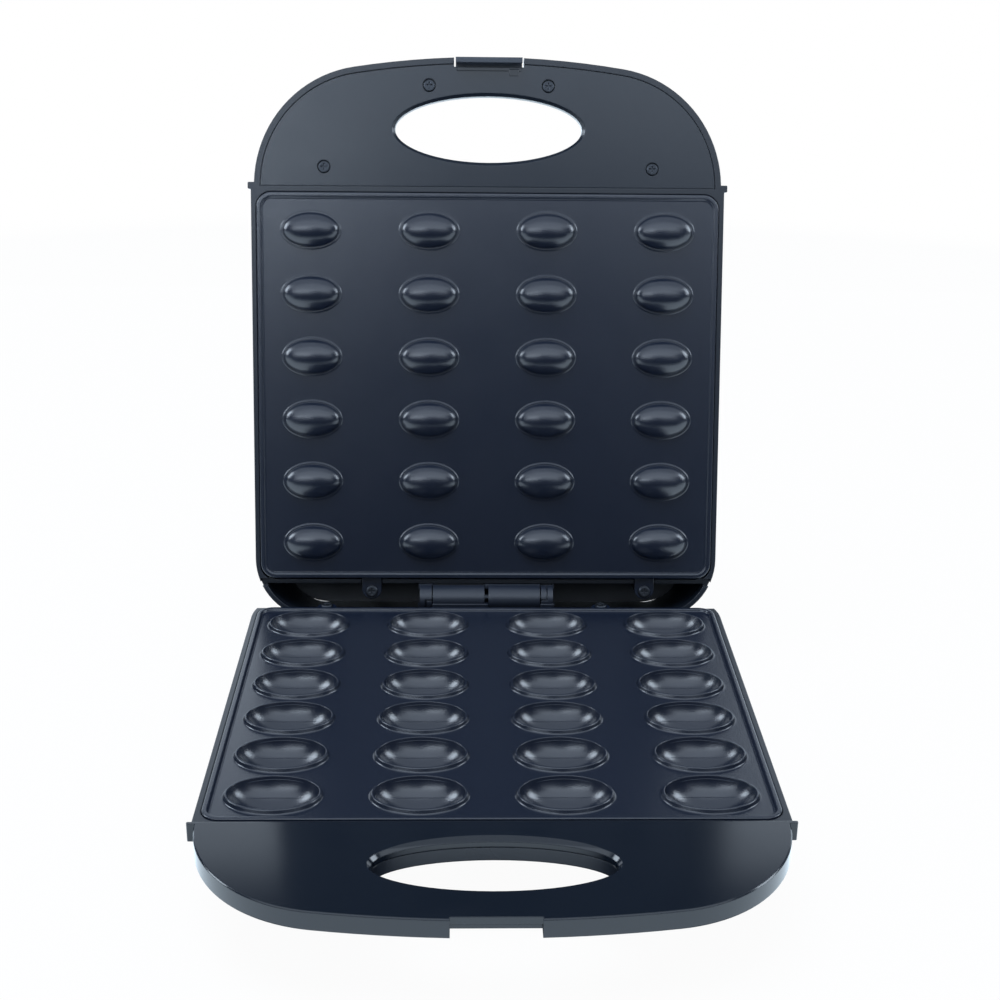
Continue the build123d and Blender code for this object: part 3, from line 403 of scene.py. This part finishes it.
def makeMaterial(name, own):
    f = {**plainFinish, **own}
    material = bpy.data.materials.new(name)
    material.use_nodes = True
    nodes, links = material.node_tree.nodes, material.node_tree.links
    shader = nodes["Principled BSDF"]
    finish = nodes.new("ShaderNodeGroup")
    finish.node_tree = coatFinish
    lighter = [part * f["wearAndSheenGain"] + lift for part, lift in zip(f["color"], f["wearAndSheenLift"])]
    values = {
        "Color": (*f["color"], 1),
        "Wear And Sheen Color": (*f.get("wearAndSheen", lighter), 1),
        "Roughness": f["rough"],
        "Roughness Spread": f["spread"],
        "Grain Depth": f["grain"],
        "Grain Scale": f["grainScale"],
        "Edge Radius": f["edge"],
    }
    for label, value in values.items():
        finish.inputs[label].default_value = value
    links.new(finish.outputs["Color"], shader.inputs["Base Color"])
    links.new(finish.outputs["Roughness"], shader.inputs["Roughness"])
    links.new(finish.outputs["Normal"], shader.inputs["Normal"])
    shader.inputs["Metallic"].default_value = f["metal"]
    shader.inputs["Specular IOR Level"].default_value = f["specular"]
    shader.inputs["Transmission Weight"].default_value = f["clear"]
    return material


materials = {slot: makeMaterial(slot, f) for slot, f in finishes.items()}
slotOf = {part["node"]: part["material_slot"] for part in frame["record"]["subparts"]}
for node, piece in frame["nodes"].items():
    for holder in piece.material_slots:
        holder.material = materials[slotOf[node]]
print("materials made")


# Mesh helpers

weld = 0.0005  # millimetres within which two points are one
sideShare = 0.48  # a corner's rounding takes at most this much of a side


def addPiece(name, bm, space, body, slot, replaced=(), sharp=32):
    bmesh.ops.remove_doubles(bm, verts=bm.verts, dist=weld)
    bmesh.ops.recalc_face_normals(bm, faces=bm.faces)
    bmesh.ops.transform(bm, matrix=space, verts=bm.verts)
    mesh = bpy.data.meshes.new(name)
    bm.to_mesh(mesh)
    bm.free()
    for face in mesh.polygons:
        face.use_smooth = True
    mesh.set_sharp_from_angle(angle=math.radians(sharp))
    mesh.materials.append(materials[slot])
    piece = bpy.data.objects.new(name, mesh)
    bpy.context.collection.objects.link(piece)
    weighted = piece.modifiers.new("weighted", "WEIGHTED_NORMAL")
    weighted.keep_sharp = True
    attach(piece, body)
    if replaced:
        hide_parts(*replaced)


def softened(points, steps=4):
    # a profile of (out, height, radius) corners with each corner rounded
    path = []
    for i, (out, height, radius) in enumerate(points):
        corner = Vector((out, height))
        if radius <= 0 or i in (0, len(points) - 1):
            path.append(corner)
            continue
        before = Vector(points[i - 1][:2]) - corner
        after = Vector(points[i + 1][:2]) - corner
        a = corner + before.normalized() * min(radius, before.length * sideShare)
        b = corner + after.normalized() * min(radius, after.length * sideShare)
        for k in range(steps + 1):
            t = k / steps
            path.append(a * (1 - t) ** 2 + corner * 2 * t * (1 - t) + b * t * t)
    return [(p.x, p.y) for p in path]


def skin(bm, loops, closed=False):
    # quads between rings of points that all have the same count
    rings = [[bm.verts.new(p) for p in loop] for loop in loops]
    pairs = list(zip(rings, rings[1:]))
    if closed:
        pairs.append((rings[-1], rings[0]))
    for low, high in pairs:
        count = len(low)
        for i in range(count):
            j = (i + 1) % count
            bm.faces.new((low[i], low[j], high[j], high[i]))
    return rings


def roundedRectangle(half, rear, front, corner, height, steps=8):
    centres = ((half - corner, front - corner, 0), (corner - half, front - corner, 90),
               (corner - half, rear + corner, 180), (half - corner, rear + corner, 270))
    loop = []
    for x, away, begin in centres:
        for k in range(steps + 1):
            turn = math.radians(begin + 90 * k / steps)
            loop.append((x + corner * math.cos(turn), -(away + corner * math.sin(turn)), height))
    return loop


def ovalLoop(x, away, halfLength, halfWidth, height, turns):
    return [(x + halfLength * math.cos(t), -(away + halfWidth * math.sin(t)), height)
            for t in turns]


# Mould plates

plates = {
    "columns": 4,
    "rows": 6,
    "columnPitch": 62.0,
    "rowPitch": 33.2,
    "firstRow": 30.0,
    "halfWidth": 121.5,
    "rear": 10.5,
    "front": 215.5,
    "corner": 8.0,
    "lipWidth": 3.0,
    "thickness": 3.0,
    "sideSteps": (20, 12),  # along a cell's long and short sides
    "roundSteps": 5,  # on each corner of a rim or pad
}
# face is a plate's height, lip how far its border stands out and away the way to its back;
# the screw ears are at these x, with their near side earDrop behind the face
lowerPlate = {"face": -2.0, "lip": 1.3, "away": -1, "earsAt": (-86.0, 62.0), "earDrop": 2.0}
upperPlate = {"face": 0.3, "lip": 0.5, "away": 1, "earsAt": (-62.0, 86.0), "earDrop": 2.6}
cup = {
    "length": 39.0, "width": 26.0, "depth": 11.0, "steps": 16,
    "rim": [(0.0, -0.45, 0.2), (0.1, 0.0, 0.42), (0.95, 0.0, 0.42), (1.85, -2.0, 0.6), (3.4, -2.0, 0)],
    "wall": 2.2, "under": -5.0, "bottom": -13.2, "draft": 25,
    "heel": (2.0, 0.4),  # how far in and how high the chamfer round the cup's underside is
}
cupLines = {  # fine beads along both flanks of a cup; slope is degrees up its wall
    "halves": {"slope": 38.5, "droop": 3.2, "reach": 13.6, "width": 0.55, "height": 0.16, "steps": 26},
    "brow": {"slope": 73.4, "droop": 2.7, "reach": 12.5, "width": 0.5, "height": 0.12, "steps": 24},
}
bead = {
    "section": ((-0.5, -0.3), (-0.28, 0.6), (0, 1), (0.28, 0.6), (0.5, -0.3), (0, -0.6)),
    "droopAt": 10,  # millimetres from its middle, where it has come down by its droop in degrees
    "taper": 4,  # a higher power keeps it full for longer
    "end": 0.05,  # what is left of it at its ends
}
dome = {
    "length": 29.5, "width": 18.0, "height": 5.6, "steps": 14, "padHeight": 0.4,
    "pad": [(0.0, 0.0, 0.3), (0.9, 0.0, 0.18), (1.3, -0.4, 0.2), (2.2, -0.4, 0)],
}
lipSection = {  # millimetres past the lip's inner side, with the rounding of that corner
    "tuck": 0.9,  # the border runs this far under the plate's face
    "tuckDepth": 0.5,
    "foot": (0.5, 0.5),
    "slopeFoot": (-0.2, 0.4),
    "slopeTop": (-0.7, 0.45),
    "outerTop": 0.8,
    "outerBottom": 0.3,
    "backGap": 0.01,
}


def ballOf(width, depth):
    # radius of the ball whose cap this is, and how far its centre is over the cap's edge
    radius = ((width / 2) ** 2 + depth ** 2) / (2 * depth)
    return radius, radius - depth


def ovalCapRings(length, width, depth, steps):
    # half length, half width and depth of each slice of a stretched ball, from its middle out
    radius, rise = ballOf(width, depth)
    stretch = length / width
    edge = math.acos(rise / radius)
    rings = []
    for k in range(1, steps + 1):
        turn = edge * k / steps
        reach = radius * math.sin(turn)
        rings.append((reach * stretch, reach, radius * math.cos(turn) - rise))
    return rings


def halfEllipsoidRings(length, width, height, steps):
    rings = []
    for k in range(1, steps + 1):
        turn = math.pi / 2 * k / steps
        reach = math.sin(turn)
        rings.append((length / 2 * reach, width / 2 * reach, height * math.cos(turn)))
    return rings


def cellSides(p, column, row):
    half, pitchX, pitchY = p["halfWidth"] - p["lipWidth"], p["columnPitch"], p["rowPitch"]
    x = (column - (p["columns"] - 1) / 2) * pitchX
    away = p["firstRow"] + row * pitchY
    left = -half if column == 0 else x - pitchX / 2
    right = half if column == p["columns"] - 1 else x + pitchX / 2
    rear = p["rear"] + p["lipWidth"] if row == 0 else away - pitchY / 2
    front = p["front"] - p["lipWidth"] if row == p["rows"] - 1 else away + pitchY / 2
    return x, away, left, right, rear, front


def addCell(bm, p, column, row, rings, middle, level):
    # rings of (half length, half width, height) joined to the cell's square border
    x, away, left, right, rear, front = cellSides(p, column, row)
    longSide, shortSide = p["sideSteps"]
    border = []
    corners = ((left, rear), (right, rear), (right, front), (left, front), (left, rear))
    for side in range(4):
        steps = longSide if side % 2 == 0 else shortSide
        (x0, y0), (x1, y1) = corners[side], corners[side + 1]
        border += [(x0 + (x1 - x0) * k / steps, y0 + (y1 - y0) * k / steps) for k in range(steps)]
    outerLength, outerWidth = rings[-1][0], rings[-1][1]
    turns = [math.atan2((by - away) / outerWidth, (bx - x) / outerLength) for bx, by in border]
    loops = [ovalLoop(x, away, a, b, h, turns) for a, b, h in rings]
    loops.append([(bx, -by, level) for bx, by in border])
    first = skin(bm, loops)[0]
    tip = bm.verts.new((x, -away, middle))
    for i in range(len(first)):
        bm.faces.new((tip, first[i], first[(i + 1) % len(first)]))


def addPlateFaces(bm, p, s, topRings, topMiddle, backRings, backMiddle):
    face = s["face"]
    back = face + s["away"] * p["thickness"]
    for column in range(p["columns"]):
        for row in range(p["rows"]):
            addCell(bm, p, column, row, topRings, topMiddle, face)
            addCell(bm, p, column, row, backRings, backMiddle, back)
    bmesh.ops.remove_doubles(bm, verts=bm.verts, dist=weld)
    bmesh.ops.bridge_loops(bm, edges=[edge for edge in bm.edges if edge.is_boundary])


def addPlateBorder(bm, p, s, lip):
    # the raised lip with the plate's edge below it, as one closed ring
    face, away, width = s["face"], s["away"], p["lipWidth"]
    top = face - away * s["lip"]
    back = face + away * p["thickness"]
    tucked = width + lip["tuck"]
    corners = [(tucked, face + away * lip["tuckDepth"], 0)]
    for key, height in (("foot", face), ("slopeFoot", face), ("slopeTop", top)):
        past, radius = lip[key]
        corners.append((width + past, height, radius))
    corners += [(0.0, top, lip["outerTop"]), (0.0, back, lip["outerBottom"]),
                (tucked, back - away * lip["backGap"], 0)]
    loops = []
    for inset, height in softened(corners):
        loops.append(roundedRectangle(p["halfWidth"] - inset, p["rear"] + inset, p["front"] - inset,
                                      p["corner"] - inset, height))
    skin(bm, loops, closed=True)


ears = {"width": 10.5, "reach": 11.8, "under": 5.25, "thickness": 2.2, "turnStep": 10,
        "edge": 0.35, "ease": 0.3,  # size of the rounded edge, and where its middle lies in it
        "tabX": 70.0, "tabReach": 8.0}


def addTab(bm, outline, low, e):
    # flat plate with rounded edges over a convex outline that shrinks towards its middle
    high = low + e["thickness"]
    edge = e["edge"]
    eased = e["ease"] * edge
    centre = sum((Vector(q) for q in outline), Vector((0, 0))) / len(outline)

    def loop(inset, height):
        ring = []
        for q in outline:
            spoke = Vector(q) - centre
            spot = Vector(q) - spoke.normalized() * inset
            ring.append((spot.x, -spot.y, height))
        return ring
    rings = skin(bm, [loop(edge, low), loop(eased, low + eased), loop(0, low + edge),
                      loop(0, high - edge), loop(eased, high - eased), loop(edge, high)])
    bm.faces.new(rings[0])
    bm.faces.new(rings[-1])


def earOutline(p, e, x):
    half = e["width"] / 2
    tip = p["rear"] - e["reach"] + half
    outline = [(x + half, p["rear"] + e["under"]), (x + half, tip)]
    for degrees in range(e["turnStep"], 180, e["turnStep"]):
        a = math.radians(-degrees)
        outline.append((x + half * math.cos(a), tip + half * math.sin(a)))
    outline += [(x - half, tip), (x - half, p["rear"] + e["under"])]
    return outline


def tabOutline(p, e, x):
    half, y0, y1 = e["width"] / 2, p["front"] - e["tabReach"], p["front"] + e["tabReach"]
    return [(x - half, y0), (x + half, y0), (x + half, y1), (x - half, y1)]


def addEars(bm, p, e, xs, low):
    for x in xs:
        addTab(bm, earOutline(p, e, x), low, e)
    for x in (-e["tabX"], e["tabX"]):
        addTab(bm, tabOutline(p, e, x), low, e)


def buildLowerPlate(p, s, c, e):
    bm = bmesh.new()
    bowl = [(a, b, -d) for a, b, d in ovalCapRings(c["length"], c["width"], c["depth"], c["steps"])]
    halfLength, halfWidth = c["length"] / 2, c["width"] / 2
    rim = [(halfLength + out, halfWidth + out, h) for out, h in softened(c["rim"], p["roundSteps"])]
    wall = c["wall"] / 2
    draft = math.tan(math.radians(c["draft"])) * (c["under"] - c["bottom"])
    inset, rise = c["heel"]
    under = [(halfLength + wall - draft - inset, halfWidth + wall - draft - inset, c["bottom"]),
             (halfLength + wall - draft, halfWidth + wall - draft, c["bottom"] + rise),
             (halfLength + wall, halfWidth + wall, c["under"])]
    addPlateFaces(bm, p, s, bowl[:-1] + rim, -c["depth"], under, c["bottom"])
    addPlateBorder(bm, p, s, lipSection)
    addEars(bm, p, e, s["earsAt"], s["face"] - s["earDrop"] - e["thickness"])
    addPiece("lowerMouldPlate", bm, baseSpace, "base", "mould_coating", ["lower_mould_plate"])


def buildUpperPlate(p, s, d, e):
    bm = bmesh.new()
    crown = s["face"] - d["padHeight"]
    button = [(a, b, crown - h)
              for a, b, h in halfEllipsoidRings(d["length"], d["width"], d["height"], d["steps"])]
    halfLength, halfWidth = d["length"] / 2, d["width"] / 2
    pad = [(halfLength + out, halfWidth + out, crown - h)
           for out, h in softened(d["pad"], p["roundSteps"])]
    back = s["face"] + p["thickness"]
    flat = [(halfLength, halfWidth, back)]
    addPlateFaces(bm, p, s, button[:-1] + pad, crown - d["height"], flat, back)
    addPlateBorder(bm, p, s, lipSection)
    addEars(bm, p, e, s["earsAt"], s["face"] + s["earDrop"])
    addPiece("upperMouldPlate", bm, lidSpace, "lid", "mould_coating", ["upper_mould_plate"])


def addCupLine(bm, c, s, shape, x, away, side):
    # a low bead on the cup's wall, thin at both ends, with its foot sunk in the wall
    radius, rise = ballOf(c["width"], c["depth"])
    halfLong = radius * c["length"] / c["width"]
    loops = []
    for k in range(s["steps"] + 1):
        share = 2 * k / s["steps"] - 1
        along = s["reach"] * share
        reach = radius * math.sqrt(1 - (along / halfLong) ** 2)
        turn = math.radians(s["slope"] - s["droop"] * (along / shape["droopAt"]) ** 2)
        swell = max(1 - abs(share) ** shape["taper"], shape["end"])
        loop = []
        for across, up in shape["section"]:
            spot = reach - up * s["height"] * swell
            angle = turn + across * s["width"] * swell / reach
            y = -away + side * spot * math.sin(angle)
            loop.append((x + along, y, rise - spot * math.cos(angle)))
        loops.append(loop)
    rings = skin(bm, loops)
    bm.faces.new(rings[0])
    bm.faces.new(rings[-1])


def buildCupLines(p, c, lines, shape):
    bm = bmesh.new()
    for column in range(p["columns"]):
        for row in range(p["rows"]):
            x, away = cellSides(p, column, row)[:2]
            for side in (-1, 1):
                for line in lines.values():
                    addCupLine(bm, c, line, shape, x, away, side)
    addPiece("cupLines", bm, baseSpace, "base", "mould_coating", sharp=80)


buildLowerPlate(plates, lowerPlate, cup, ears)
buildCupLines(plates, cup, cupLines, bead)
buildUpperPlate(plates, upperPlate, dome, ears)
print("mould plates built")
